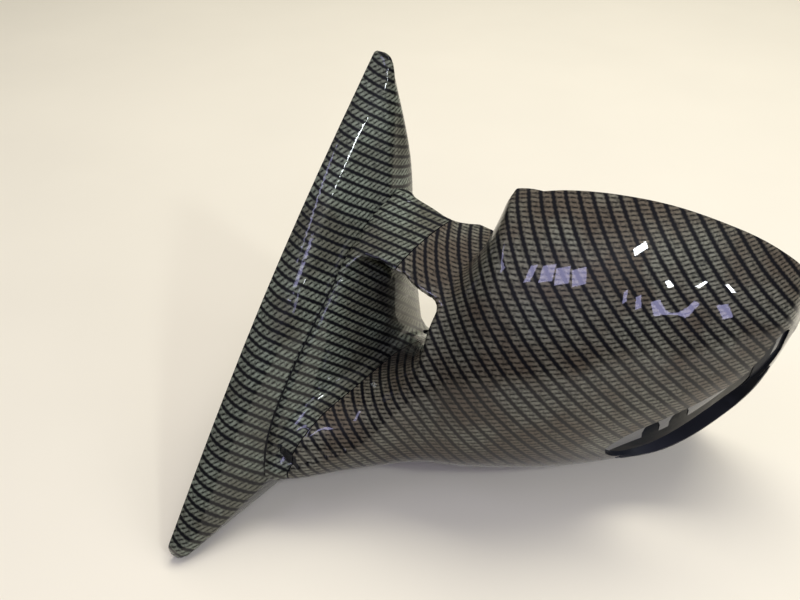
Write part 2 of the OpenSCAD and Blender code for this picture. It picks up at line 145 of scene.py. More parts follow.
# The open space between the two arms: the dished floor, the roof under the upper arm and
# the head's inboard wall. It is moulded, so its corners and its mouth are softly rounded.
space_rows = np.array([
    # y, floor z at the foot, outboard end of the floor, floor z there, outboard face
    [48, 33, 22, 28, 96], [58, 40, 29, 36, 96], [73, 53, 41, 43, 96], [86, 60, 53, 49, 95],
    [97, 63, 61, 59, 92], [106, 64, 65, 70, 88], [116, 65, 68, 80, 83], [124, 66, 69, 89, 76],
    [133, 67, 67, 91, 71], [146, 68, 63, 88, 69], [164, 64, 60, 80, 68], [182, 56, 59, 72, 67],
    [200, 47, 59, 64, 67], [216, 42, 59, 60, 68]], float)
space_table = between_rows(space_rows, np.linspace(0, 13, 521))


def roof_height(x, y):
    """Underside of the upper arm, which is thicker towards the foot along its front edge."""
    x1 = np.maximum(x, 33)
    roof = (arm_height(x1) - 10.6 - 0.33 * (x1 - 42) - 0.9 * np.maximum(0, 28 - x)
            - 0.32 * np.maximum(0, y - 143))
    front_edge = 129.5 - 0.08 * np.maximum(0, x - 30) + 0.4 * np.maximum(0, y - 150)
    return np.minimum(roof, front_edge)


def space_level(p):
    x, y, z = p[:, 0], p[:, 1], p[:, 2]
    foot_z, end_x, end_z, face_x = [np.interp(y, space_table[:, 0], space_table[:, k]) for k in range(1, 5)]
    t = np.clip((x - 34) / np.maximum(1, end_x - 34), 0, 1)
    low = foot_z + (end_z - foot_z) * np.where(end_x > 35, t ** 1.6, 1)
    high = np.maximum(low + 6, roof_height(face_x, y))
    across = np.maximum(0, (x - end_x) / (face_x - end_x))
    down = np.maximum(0, (high - z) / (high - low))
    return np.sqrt(across ** 2 + down ** 2) - 1


def space_between_arms(p):
    return round_max(as_distance(space_level, p), (p[:, 2] - roof_height(p[:, 0], p[:, 1])) * 0.9, 5)


# The door base's outer face, needed here because the foot stands on it: a bowed triangle
# that domes up to a crown. a runs rearward along the rim, b up it and d outboard from it.
lean, toe = math.radians(7.95), math.radians(3.04)
door_axes = np.array([
    [math.sin(toe), math.cos(toe), 0],
    [-math.cos(toe) * math.sin(lean), math.sin(toe) * math.sin(lean), math.cos(lean)],
    [math.cos(toe) * math.cos(lean), -math.sin(toe) * math.cos(lean), math.sin(lean)]])
base_len, base_height, tip_height, crown = 207, 219, 11, 30
crown_at = np.array([base_len * 0.695, base_height * 0.285])


def corner(cx, cy, r, a0, a1, n):
    t = np.radians(np.linspace(a0, a1, n + 1))
    return np.column_stack([cx + r * np.cos(t), cy + r * np.sin(t)])


def edge(p, q, n, bow=0.0):
    t = np.linspace(0, 1, n + 1)[1:-1, None]
    out = np.array([q[1] - p[1], p[0] - q[0]]) / np.hypot(*(q - p))
    return p + (q - p) * t + out * bow * np.sin(np.pi * t)


long_angle = math.degrees(math.atan2(base_height - tip_height, base_len))
rear_corner = corner(base_len - 13, 13, 13, -90, 0, 24)
top_corner = corner(base_len - 3.5, base_height - 3.5, 3.5, 0, 90 + long_angle, 24)
tip_corner = corner(4, tip_height - 4, 4, 90 + long_angle, 180, 16)
low_corner = corner(2.5, 2.5, 2.5, 180, 270, 8)
rim = np.vstack([low_corner, edge(low_corner[-1], rear_corner[0], 120), rear_corner,
                 edge(rear_corner[-1], top_corner[0], 120), top_corner,
                 edge(top_corner[-1], tip_corner[0], 180, 5.5), tip_corner,
                 edge(tip_corner[-1], low_corner[0], 6)])
bell = lambda x, at, w: np.exp(-((x - at) / w) ** 2)
rim_height = (7 + 8.5 * bell(rim[:, 0] + rim[:, 1], (base_len + base_height) * 0.47, 105)
              * (0.15 + 0.85 * ease(0.45, 0.75, rim[:, 1] / np.maximum(rim[:, 0], 1)))
              + 10 * bell(rim[:, 0], base_len, 14) * bell(rim[:, 1], base_height * 0.76, 48))
rim_angle = np.arctan2(rim[:, 1] - crown_at[1], rim[:, 0] - crown_at[0])
by_angle = np.argsort(rim_angle)
rim_angle, rim_radius = rim_angle[by_angle], np.hypot(*(rim - crown_at).T)[by_angle]
rim_height = rim_height[by_angle]


def on_base(p):
    q = p @ door_axes.T
    a, b = q[:, 0] - crown_at[0], q[:, 1] - crown_at[1]
    angle = np.arctan2(b, a)
    reach = np.interp(angle, rim_angle, rim_radius, period=2 * np.pi)
    height = np.interp(angle, rim_angle, rim_height, period=2 * np.pi)
    return q[:, 2], np.hypot(a, b) / reach, height


def base_top(p):
    d, t, height = on_base(p)
    return d - height - (crown - height) * (1 - np.minimum(1.2, t) ** 2)


def base_side(p):
    return on_base(p)[1] - 1


def base_face(p, grow=0.0):
    """Distance from the base's outer face, raised by grow or, where that is negative, drawn in."""
    draft = 0.09 * np.clip(p @ door_axes[2], 0, 20)
    return round_max(as_distance(base_top, p, 0.4), as_distance(base_side, p, 0.4) + draft, 6) - grow


gasket_t, plate_t = 1.2, 2.6


def round_min(a, b, r):
    return -round_max(-a, -b, r)


def foot_and_head(p):
    arms = round_max(skin(p), -space_between_arms(p), 3.5)
    near = p[:, 0] < 66
    plate = np.full(len(p), 60.0)
    plate[near] = round_max(skin(p[near]), base_face(p[near], gasket_t + plate_t), 1.5)
    ends = np.maximum(inboard_end - p[:, 0], p[:, 1] - rear_end)
    return np.maximum(round_min(arms, plate, 6), ends)


fine_step, coarse_step = 1.6, 2.2


def net_surface(distance, low, high, step, settle=2):
    """A quad mesh on the zero of a distance function, its points then moved onto it.
    A grid of every fourth point finds where the surface runs, and only that part is filled."""
    low = np.array(low, float)
    count = (np.ceil((np.array(high) - low) / step / 4).astype(int)) * 4 + 1
    axes_at = [low[k] + step * np.arange(count[k]) for k in range(3)]

    def at(gx, gy, gz):
        return np.stack(np.meshgrid(gx, gy, gz, indexing="ij"), -1).reshape(-1, 3)

    rough = distance(at(*[g[::4] for g in axes_at])).reshape([len(g[::4]) for g in axes_at])
    fine = rough
    for k in range(3):
        n = fine.shape[k]
        first, last = np.take(fine, range(n - 1), k), np.take(fine, range(1, n), k)
        shape = list(first.shape)
        shape[k] *= 4
        steps = np.stack([first + (last - first) * t / 4 for t in range(4)], k + 1).reshape(shape)
        fine = np.concatenate([steps, np.take(fine, [n - 1], k)], k)
    near = np.argwhere(np.abs(fine) < step * 4.5)
    value = fine.copy()
    value[tuple(near.T)] = distance(low + near * step)
    inside = value < 0
    cells = count - 1
    total, number = np.zeros(tuple(cells) + (3,)), np.zeros(tuple(cells))
    corner_of = lambda o: tuple(slice(o[k], cells[k] + o[k]) for k in range(3))
    for o in np.ndindex(2, 2, 2):
        for axis in range(3):
            if o[axis]:
                continue
            v0, v1 = value[corner_of(o)], value[corner_of([o[k] + (k == axis) for k in range(3)])]
            cross = (v0 < 0) != (v1 < 0)
            where = np.array(o, float) * cross[..., None]
            where[..., axis] += np.where(cross, v0 / np.where(cross, v0 - v1, 1), 0)
            total += where
            number += cross
    used = number > 0
    index = np.full(used.shape, -1)
    index[used] = np.arange(used.sum())
    verts = low + step * (np.argwhere(used) + total[used] / number[used][:, None])
    quads = []
    for axis, (a, b) in enumerate(((1, 2), (2, 0), (0, 1))):
        inner = [slice(1, c - 1) for c in count]
        inner[axis] = slice(0, count[axis] - 1)
        ahead = list(inner)
        ahead[axis] = slice(1, count[axis])
        s0, s1 = inside[tuple(inner)], inside[tuple(ahead)]
        origin = np.array([sl.start for sl in inner])
        for keep, order in ((s0 & ~s1, 1), (~s0 & s1, -1)):
            grid = np.argwhere(keep) + origin
            ring = []
            for da, db in ((-1, -1), (0, -1), (0, 0), (-1, 0)):
                cell = grid.copy()
                cell[:, a] += da
                cell[:, b] += db
                ring.append(index[tuple(cell.T)])
            quads.append(np.stack(ring, 1)[:, ::order])
    for _ in range(settle):
        off = distance(verts)
        verts = verts - slope_of(distance, verts, off) * np.clip(off, -1, 1)[:, None]
    return verts, np.vstack(quads)


def slope_of(distance, p, value=None, h=0.08):
    value = distance(p) if value is None else value
    slope = np.stack([distance(p + step) - value for step in np.eye(3) * h], 1)
    return slope / np.maximum(np.sqrt((slope ** 2).sum(1, keepdims=True)), 1e-9)


def to_object(name, verts, faces):
    mesh = bpy.data.meshes.new(name)
    mesh.from_pydata((np.asarray(verts) * mm).tolist(), [], [list(map(int, f)) for f in faces])
    mesh.update()
    made = bpy.data.objects.new(name, mesh)
    bpy.context.scene.collection.objects.link(made)
    return made


def carve(target, tool, how="DIFFERENCE"):
    """Joins, cuts or clips target with tool, which is used up."""
    made = target.modifiers.new("carve", "BOOLEAN")
    made.operation, made.object, made.solver = how, tool, "MANIFOLD"
    bpy.context.view_layer.update()
    result = bpy.data.meshes.new_from_object(target.evaluated_get(bpy.context.evaluated_depsgraph_get()))
    target.modifiers.clear()
    if len(result.polygons) == 0:
        raise RuntimeError("nothing left of " + target.name + " after " + tool.name)
    old, target.data = target.data, result
    bpy.data.meshes.remove(old)
    bpy.data.objects.remove(tool)
    return target


def extruded(name, outline, z0, z1, turn_by=None):
    """A closed prism over an outline that runs counter-clockwise, in the part's frame or the door's."""
    outline = np.asarray(outline, float)
    n = len(outline)
    verts = np.vstack([np.column_stack([outline, np.full(n, z)]) for z in (z0, z1)])
    if turn_by is not None:
        verts = verts @ turn_by
    faces = [list(range(n))[::-1], list(range(n, 2 * n))]
    faces += [[i, (i + 1) % n, n + (i + 1) % n, n + i] for i in range(n)]
    return to_object(name, verts, faces)


def disc(cx, cy, r, z0, z1, n=64, turn_by=None):
    t = np.arange(n) * 2 * np.pi / n
    return extruded("disc", np.column_stack([cx + r * np.cos(t), cy + r * np.sin(t)]), z0, z1, turn_by)


def bar(x0, y0, x1, y1, z0, z1, turn_by=None):
    return extruded("bar", [(x0, y0), (x1, y0), (x1, y1), (x0, y1)], z0, z1, turn_by)


# The parting line, the fold axis and the two tongues, shared by foot and head. The line is
# straight, turns into a barrel round the axis, and has foot and head a small gap either side.
part_x, part_y, part_slope, line_gap = 31, 58.0, 0.12, 0.3
hinge_y, barrel_r, tongue_r = 188.0, 10, 9
hinge = np.array([part_x + part_slope * (hinge_y - part_y) - barrel_r, hinge_y])
line_way = np.array([part_slope, 1]) / math.hypot(part_slope, 1)
line_out = np.array([line_way[1], -line_way[0]])


def parting(gap):
    """The parting line seen from above, front to back, moved outboard by gap."""
    front = np.array([part_x, part_y]) + line_out * gap - line_way * 300
    back = front + line_way * 700
    return front, back


def head_region():
    front, back = parting(line_gap)
    made = extruded("head_region", [front, (500, front[1]), (500, back[1]), back], -60, 260)
    return carve(made, disc(*hinge, barrel_r + line_gap, -80, 280, 96))


def foot_region():
    front = parting(-line_gap)[0]
    end = front + line_way * (hinge_y - front[1] - 1) / line_way[1]
    outline = [(-300, front[1]), front, end, hinge, (hinge[0], 400), (-300, 400)]
    made = extruded("foot_region", outline, -60, 260)
    return carve(made, disc(*hinge, barrel_r - line_gap, -50, 250, 96), "UNION")


arms_rear, rim_sweep, rim_rake, rim_at = 197, 0.53, 0.19, (ear_x, 201, 90)


def behind_rim():
    """Everything behind both the arms' rear plane and the swept rear rim."""
    heading = math.atan(rim_sweep)
    rake = math.atan(rim_rake * math.cos(heading))
    turned = np.array(Matrix.Rotation(heading, 3, "Z") @ Matrix.Rotation(rake, 3, "X"))
    ring = np.array([(-400, 0), (400, 0), (400, 400), (-400, 400)], float)
    block = np.vstack([np.column_stack([ring, np.full(4, z)]) for z in (-400, 400)])
    sides = [[i, (i + 1) % 4, 4 + (i + 1) % 4, 4 + i] for i in range(4)]
    made = to_object("behind_rim", block @ turned.T + rim_at, [[3, 2, 1, 0], [4, 5, 6, 7]] + sides)
    return carve(made, bar(-500, arms_rear, 500, 900, -500, 500), "INTERSECT")


whole_net = net_surface(foot_and_head, (3, 46, -6), (226, 300, 186), fine_step)


def whole():
    return to_object("whole", *whole_net)


# Head: an ABS shell, film-wrapped outside and bare inside, with the outboard half of both
# arms, a raked rear rim and, low at its outboard end, an empty seat for a direction lamp.
head = carve(carve(whole(), head_region(), "INTERSECT"), behind_rim())
tongues = [(127, 132), (28, 40)]
for low_z, high_z in tongues:
    t = np.radians(np.linspace(90, 270, 49))
    outline = np.vstack([hinge + tongue_r * np.column_stack([np.cos(t), np.sin(t)]),
                         hinge + [(barrel_r + 6, -tongue_r), (barrel_r + 6, tongue_r)]])
    tongue = carve(carve(extruded("tongue", outline, low_z, high_z), whole(), "INTERSECT"), behind_rim())
    head = carve(head, tongue, "UNION")
head_wall, hollow_from_x, pin_r, pin_play = 2.8, 84, 3, 0.08


def head_inside(p):
    return round_max(skin(p) + head_wall, hollow_from_x - p[:, 0], 8)


head = carve(head, to_object("inside", *net_surface(
    lambda p: np.maximum(head_inside(p), p[:, 1] - rear_end), (78, 100, -6), (226, 304, 190),
    coarse_step)))
head = carve(head, disc(*hinge, pin_r + pin_play, -10, 200))


def skin_point(u, v, off):
    """A point of the skin at row u and angle v, moved off it along its normal."""
    def spot(u, v):
        x, crest, nose_y, nose_z, head_top, bottom, full_up, full_down, rear = between_rows(sections, u).T
        n = np.where(v >= 0, full_up, full_down)
        c = np.abs(np.cos(np.radians(v))) ** (2 / n)
        s = np.abs(np.sin(np.radians(v))) ** (2 / n)
        top = top_of_section(x, np.abs(v), head_top)
        z = np.where(v >= 0, nose_z + (top - nose_z) * s, nose_z - (nose_z - bottom) * s)
        return np.column_stack([x, crest + (nose_y - crest) * c, z])
    outboard = spot(np.minimum(u + 0.02, last_row), v) - spot(u - 0.02, v)
    normal = np.cross(outboard, spot(u, v + 1.5) - spot(u, v - 1.5))
    return spot(u, v) + normal / np.linalg.norm(normal, axis=1)[:, None] * off


def skin_band(name, rows, above, below, across=12, along=6):
    """A closed block over a strip of the skin. Rows hold u, the strip's two edge angles and,
    where its height varies, the height above the skin."""
    rows = np.array(rows, float)
    rows = between_rows(rows, np.linspace(0, len(rows) - 1, (len(rows) - 1) * along + 1))
    if rows.shape[1] == 4:
        above = np.repeat(rows[:, 3], across + 1)[:, None]
    k = np.linspace(0, 1, across + 1)
    u = np.repeat(rows[:, 0], across + 1)
    v = (rows[:, 1:2] + (rows[:, 2:3] - rows[:, 1:2]) * k).ravel()
    inner = skin_point(u, v, -below).reshape(len(rows), -1, 3)
    outer = skin_point(u, v, above).reshape(len(rows), -1, 3)
    rings = np.concatenate([outer[:, ::-1], inner], 1)
    n, m = rings.shape[1], len(rings)
    faces = [[j * n + i, j * n + (i + 1) % n, (j + 1) * n + (i + 1) % n, (j + 1) * n + i]
             for j in range(m - 1) for i in range(n)]
    for base, turn_round in ((0, -1), ((m - 1) * n, 1)):
        for i in range(across):
            faces.append([base + i, base + i + 1, base + n - 2 - i, base + n - 1 - i][::turn_round])
    return to_object(name, rings.reshape(-1, 3), faces)


# The lamp seat is a step below the skin, with the slot through its lower part, two notches
# in the slot's upper edge and, under the slot, a lip that was left raw when the film was cut.
seat = [(5.52, -25, -20), (5.62, -34, -15), (5.85, -38, -10.5), (6.2, -40, -9), (6.55, -41, -9),
        (6.95, -41, -8.5), (7.15, -40, -5), (7.32, -38, -1), (7.5, -34, 8), (7.7, -28, 18),
        (7.9, -22, 25), (8.15, -16, 29), (8.4, -8, 27)]
slot = [(5.58, -31, -26), (5.72, -38, -23.5), (5.9, -41, -22), (6.25, -42, -22), (6.6, -42, -21),
        (6.95, -41, -15.5), (7.2, -37, -6), (7.36, -31, 3), (7.46, -24, 7)]
lip = [(5.6, -45, -38, 0.3), (5.85, -51, -40, 1.6), (6.15, -55, -42, 3.2), (6.5, -57, -42.5, 4.4),
       (6.9, -56, -41.5, 4.4), (7.2, -52, -38, 3.4), (7.5, -47, -33, 2.2), (7.8, -41, -28, 1.0),
       (8.0, -37, -25, 0.4)]
seat_depth, through_wall = 1.8, head_wall + 4
head = carve(head, skin_band("lip", lip, 0, 1.6), "UNION")
head = carve(head, skin_band("seat", seat, 3, seat_depth))
head = carve(head, skin_band("slot", slot, 8, through_wall))
for u0, u1 in ((5.93, 6.13), (6.24, 6.46)):
    notch = [(u0, -25, -17), (u0 + 0.04, -25, -12.5), (u1 - 0.04, -25, -12), (u1, -25, -16)]
    head = carve(head, skin_band("notch", notch, 0.5, through_wall))


# The wrap: a film with a carbon look printed in metallic ink, under a thick clear coat. Its
# bands lie about 6 mm apart, each a chain of slanting marks 3 mm apart round dark pits.
def linear(text):
    c = [int(text[i:i + 2], 16) / 255 for i in (1, 3, 5)]
    return [x / 12.92 if x <= 0.04045 else ((x + 0.055) / 1.055) ** 2.4 for x in c] + [1]


def node(tree, kind, settings=(), **links):
    """Adds a shader node, applies its settings and joins or sets its inputs by name or number."""
    made = tree.nodes.new(kind)
    for key, value in dict(settings).items():
        setattr(made, key, value)
    for key, value in links.items():
        socket = made.inputs[int(key[1:])] if key[1:].isdigit() else made.inputs[key.replace("_", " ")]
        if isinstance(value, bpy.types.NodeSocket):
            tree.links.new(value, socket)
        else:
            socket.default_value = value
    return made


def new_material(name):
    material = bpy.data.materials.new(name)
    material.use_nodes = True
    tree = material.node_tree
    return material, tree, tree.nodes["Principled BSDF"]


def carbon_look_film(name, bright, dim):
    material, tree, shader = new_material(name)
    calc = lambda operation, a, b=0.0, c=0.0: node(
        tree, "ShaderNodeMath", {"operation": operation}, i0=a, i1=b, i2=c).outputs[0]
    smooth = lambda value, a, b: node(
        tree, "ShaderNodeMapRange", {"interpolation_type": "SMOOTHSTEP"}, i0=value, i1=a, i2=b).outputs[0]
    spot = node(tree, "ShaderNodeTexCoord").outputs["Object"]
    film_map = node(tree, "ShaderNodeUVMap", {"uv_map": "film"}).outputs[0]
    laid = node(tree, "ShaderNodeSeparateXYZ", i0=film_map)
    wander = node(tree, "ShaderNodeTexNoise", Vector=spot, Scale=16.0, Detail=2.0).outputs[0]
    shake = node(tree, "ShaderNodeTexNoise", Vector=spot, Scale=330.0, Detail=1.0).outputs[0]
    across = calc("ADD", laid.outputs[0], calc("MULTIPLY", calc("SUBTRACT", wander, 0.5), 0.35))
    along = calc("ADD", laid.outputs[1], calc("MULTIPLY", calc("SUBTRACT", shake, 0.5), 0.35))
    # From the middle of a band: negative on one side, 0.5 on the dark line between two
    side = calc("SUBTRACT", calc("FRACT", across), 0.5)
    away = calc("ABSOLUTE", side)
    step = calc("SUBTRACT", calc("FRACT", calc("ADD", along, calc("MULTIPLY", side, 1.25))), 0.5)
    rung = smooth(calc("ABSOLUTE", step), 0.48, 0.12)
    rail = calc("MULTIPLY", smooth(calc("ABSOLUTE", calc("SUBTRACT", away, 0.25)), 0.15, 0.0), 0.5)
    band = smooth(calc("ADD", away, calc("MULTIPLY", shake, 0.08)), 0.47, 0.26)
    mark = calc("MULTIPLY", calc("MAXIMUM", rung, rail), band)
    fleck = node(tree, "ShaderNodeTexNoise", Vector=spot, Scale=620.0, Detail=2.0).outputs[0]
    patch = node(tree, "ShaderNodeTexNoise", Vector=spot, Scale=34.0, Detail=3.0).outputs[0]
    speckle = smooth(fleck, 0.25, 0.75)
    amount = calc("MULTIPLY", mark, calc("MULTIPLY", calc("ADD", speckle, 0.45), calc("ADD", patch, 0.5)))
    tint = node(tree, "ShaderNodeMix", {"data_type": "RGBA"}, i0=smooth(patch, 0.35, 0.65),
                i6=linear(bright), i7=linear(dim)).outputs[2]
    ground = node(tree, "ShaderNodeMix", {"data_type": "RGBA"}, i0=band,
                  i6=linear("#07070d"), i7=linear("#100f0c")).outputs[2]
    colour = node(tree, "ShaderNodeMix", {"data_type": "RGBA"}, i0=amount, i6=ground, i7=tint).outputs[2]
    tree.links.new(colour, shader.inputs["Base Color"])
    shader.inputs["Metallic"].default_value = 0.15
    shader.inputs["Roughness"].default_value = 0.42
    shader.inputs["Specular IOR Level"].default_value = 0.1
    shader.inputs["Coat Weight"].default_value = 1.0
    shader.inputs["Coat Roughness"].default_value = 0.015
    shader.inputs["Coat IOR"].default_value = 1.35
    peel = node(tree, "ShaderNodeTexNoise", Vector=spot, Scale=260.0, Detail=1.0).outputs[0]
    sag = node(tree, "ShaderNodeTexNoise", Vector=spot, Scale=45.0, Detail=1.0).outputs[0]
    height = calc("ADD", calc("MULTIPLY", peel, 0.35), calc("MULTIPLY", sag, 0.5))
    bump = node(tree, "ShaderNodeBump", Strength=0.14, Distance=0.00012, Height=height)
    tree.links.new(bump.outputs[0], shader.inputs["Coat Normal"])
    return material


def moulded(name, colour, rough, grain_mm, depth, metal=0.0, coat=0.0):
    """Moulded, lacquered or plated stock: a faint mottle of colour and gloss over a fine grain."""
    material, tree, shader = new_material(name)
    spot = node(tree, "ShaderNodeTexCoord").outputs["Object"]
    mottle = node(tree, "ShaderNodeTexNoise", Vector=spot, Scale=60.0, Detail=4.0).outputs[0]
    tone = node(tree, "ShaderNodeMapRange", i0=mottle, i1=0.2, i2=0.8, i3=0.7, i4=1.3).outputs[0]
    tint = node(tree, "ShaderNodeVectorMath", {"operation": "SCALE"}, i0=linear(colour)[:3], Scale=tone)
    tree.links.new(tint.outputs[0], shader.inputs["Base Color"])
    sheen = node(tree, "ShaderNodeMapRange", i0=mottle, i1=0.2, i2=0.8, i3=rough * 0.75, i4=rough * 1.25)
    tree.links.new(sheen.outputs[0], shader.inputs["Roughness"])
    grain = node(tree, "ShaderNodeTexNoise", Vector=spot, Scale=1000 / grain_mm, Detail=3.0).outputs[0]
    bump = node(tree, "ShaderNodeBump", Strength=0.6, Distance=depth * mm, Height=grain)
    tree.links.new(bump.outputs[0], shader.inputs["Normal"])
    shader.inputs["Metallic"].default_value = metal
    shader.inputs["Coat Weight"].default_value = coat
    return material


# One film in two copies: the head's copy is tinted darker than the lighter one on foot and base, as painted
# shade on the head
head_film_painted_shade = carbon_look_film("carbon_look_film_head_painted_shade", "#828170", "#63594a")
base_film = carbon_look_film("carbon_look_film_base", "#8b9380", "#686858")
# Bare ABS from a grained mould is near black with a weak, soft gloss, and the lacquer in the
# lamp seat is dark under a clear coat
bare_abs = moulded("bare_black_abs", "#0d1017", 0.5, 0.7, 0.02)
bare_abs.node_tree.nodes["Principled BSDF"].inputs["Specular IOR Level"].default_value = 0.3
black_lacquer = moulded("gloss_black_lacquer", "#2c3138", 0.22, 2.0, 0.003, coat=1.0)


# How the film lies. The bands' coordinate is a smooth function of place, in bands, that
# was fitted to their slant and spacing in the photograph, in centimetres from a middle.
def powers(p, cubes=False):
    """Terms of the fit and their slopes along x, y and z."""
    x, y, z = p.T
    one, none = np.ones_like(x), np.zeros_like(x)
    terms = [x, y, z, x * x, y * y, z * z, x * y, x * z, y * z]
    slopes = [(one, none, none), (none, one, none), (none, none, one), (2 * x, none, none),
              (none, 2 * y, none), (none, none, 2 * z), (y, x, none), (z, none, x), (none, z, y)]
    if cubes:
        terms += [x**3, y**3, z**3, x * x * y, x * x * z, y * y * x, y * y * z, z * z * x, z * z * y,
                  x * y * z]
        slopes += [(3 * x * x, none, none), (none, 3 * y * y, none), (none, none, 3 * z * z),
                   (2 * x * y, x * x, none), (2 * x * z, none, x * x), (y * y, 2 * x * y, none),
                   (none, 2 * y * z, y * y), (z * z, none, 2 * x * z), (none, z * z, 2 * y * z),
                   (y * z, x * z, x * y)]
    return np.array(terms), np.array([np.array(s) for s in slopes])


def lay_film(p, normal, middle, bands, mark_pitch):
    """Film coordinates in bands and marks. The marks' one is the smooth function whose
    slope comes nearest to running along the bands at the marks' pitch."""
    p = (p - middle) / 10
    terms, slopes = powers(p)
    across = np.array(bands) @ terms[:len(bands)]
    way = np.einsum("k,kin->ni", np.array(bands), slopes[:len(bands)])
    way -= (way * normal).sum(1, keepdims=True) * normal
    way /= np.maximum(np.linalg.norm(way, axis=1, keepdims=True), 0.3)
    along = np.cross(normal, way) * 10 / mark_pitch
    pick = np.linspace(0, len(p) - 1, min(len(p), 6000)).astype(int)
    cubic, cubic_slopes = powers(p[pick], True)
    # Faces turned outboard, forward and up, where the film shows most, count for most
    weight = np.clip(normal[pick] @ (0.45, -0.6, 0.66), 0, 1) + 0.02
    flat = cubic_slopes - np.einsum("kin,ni->kn", cubic_slopes, normal[pick])[:, None] * normal[pick].T
    rows = (flat * weight).reshape(len(cubic), -1).T
    fit = np.linalg.lstsq(rows, (along[pick].T * weight).ravel(), rcond=1e-6)[0]
    return np.column_stack([across, fit @ powers(p, True)[0]])


def finish_shell(target, surfaces, materials, film_fit, body, replaced):
    """Gives each face the true normals of the surface it was cut from, sorts faces into film
    outside, the other materials on their own surfaces and the last one elsewhere, and lays
    the film. Surfaces are a distance, its sign and the number of the material."""
    mesh = target.data
    mesh.materials.clear()
    for material in materials:
        mesh.materials.append(material)
    points = np.empty(len(mesh.vertices) * 3)
    mesh.vertices.foreach_get("co", points)
    points = points.reshape(-1, 3) / mm
    loops = np.empty(len(mesh.loops), int)
    mesh.loops.foreach_get("vertex_index", loops)
    flat = np.empty(len(mesh.polygons) * 3)
    mesh.polygons.foreach_get("normal", flat)
    flat = flat.reshape(-1, 3)
    sizes = np.empty(len(mesh.polygons), int)
    mesh.polygons.foreach_get("loop_total", sizes)
    face_of = np.repeat(np.arange(len(sizes)), sizes)
    starts = np.concatenate([[0], np.cumsum(sizes)[:-1]])
    normals = flat[face_of].copy()
    coat = np.full(len(sizes), len(materials) - 1)
    outer = np.zeros_like(points)
    for number, (distance, sign, material) in enumerate(surfaces):
        off = distance(points)
        # The outer surface claims points within 0.6 mm of it, and the others within 0.12 mm
        near = np.abs(off) < (0.6 if number == 0 else 0.12)
        ways = np.zeros_like(points)
        ways[near] = slope_of(distance, points[near], off[near]) * sign
        if number == 0:
            outer = ways
        face_near = np.logical_and.reduceat(near[loops], starts)
        agree = np.add.reduceat((ways[loops] * flat[face_of]).sum(1), starts) / sizes > 0.5
        good = face_near & agree
        normals[good[face_of]] = ways[loops][good[face_of]]
        coat[good] = material
    mesh.polygons.foreach_set("use_smooth", np.ones(len(sizes), bool))
    mesh.polygons.foreach_set("material_index", coat.astype(np.int32))
    if film_fit:
        film_map = mesh.uv_layers.new(name="film")
        film_map.data.foreach_set("uv", lay_film(points, outer, *film_fit)[loops].ravel())
    mesh.normals_split_custom_set(normals.tolist())
    mesh.update()
    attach(target, body)
    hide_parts(*replaced)


def seat_floor(p):
    """The lamp seat's floor, a step below the skin round the slot."""
    return np.where(p[:, 0] > 150, skin(p) + seat_depth, 9)


head.name = "head_wrapped"
head_bands = (0.823, 1.084, 0.909, -0.037, -0.018, -0.022, 0.028, 0.042, -0.018)
finish_shell(head, [(foot_and_head, 1, 0), (seat_floor, 1, 1), (head_inside, -1, 2)],
             [head_film_painted_shade, black_lacquer, bare_abs], ((120, 180, 90), head_bands, 2.77),
             "head", ["head_shell"])


# Foot: the inboard half of both arms, film-wrapped too, standing on the base's gasket. It
# carries the ears of both hinges and takes the three screws from inside the base.
def base_raised(p):
    return base_face(p, gasket_t)


def base_block(grow, step):
    """The base's outer form as a closed block, raised by grow and cut off inboard of the rim."""
    return to_object("base_block", *net_surface(
        lambda p: np.maximum(base_face(p, grow), -6 - p @ door_axes[2]), (-42, -10, -14), (42, 224, 232),
        step))


foot = carve(carve(whole(), foot_region(), "INTERSECT"), behind_rim())
foot = carve(foot, base_block(gasket_t, fine_step))
room_r, counterbore_r = tongue_r + 0.5, 5.9
for low_z, high_z, room in ((*tongues[0], 0.3), (*tongues[1], 3.5)):
    z0, z1 = low_z - 1.3, high_z + room
    foot = carve(foot, disc(*hinge, room_r, z0, z1, 96))
    foot = carve(foot, bar(hinge[0], hinge_y - room_r, hinge[0] + 60, 240, z0, z1))
    foot = carve(foot, bar(hinge[0] - 13, hinge_y, hinge[0] + 40, 240, z0, z1))
for r, z0, z1 in ((pin_r, 121.7, 135), (pin_r, 20, 80),
                  (counterbore_r, 48.5, 88.5), (counterbore_r, 81.7, 121.7)):
    foot = carve(foot, disc(*hinge, r, z0, z1))
screw_at, screw_r = [(180, 132), (82, 33), (176, 44)], 2.5
for a, b in screw_at:
    foot = carve(foot, disc(a, b, screw_r, 14.5, 31.5, 48, door_axes))
foot.name = "foot_wrapped"
foot_bands = (-0.04, 1.35, 1.35)
finish_shell(foot, [(foot_and_head, 1, 0), (base_raised, -1, 1)], [base_film, bare_abs],
             ((30, 120, 90), foot_bands, 3.0), "mount_side", ["foot"])


# Door base: a triangular ABS dome, film-wrapped outside. Open towards the door, it shows
# two cross ribs, three bosses for the door's screws and three pads for the foot's screws.
base_wall, rib_half, insert_r, screw_hole_r = 3.0, 1.3, 4, 2.8


def base_inside(p):
    return base_face(p, -base_wall)


def within_base(made):
    """Ends a rib or a boss halfway through the base's wall, so that it joins it soundly."""
    return carve(made, base_block(-base_wall / 2, coarse_step), "INTERSECT")


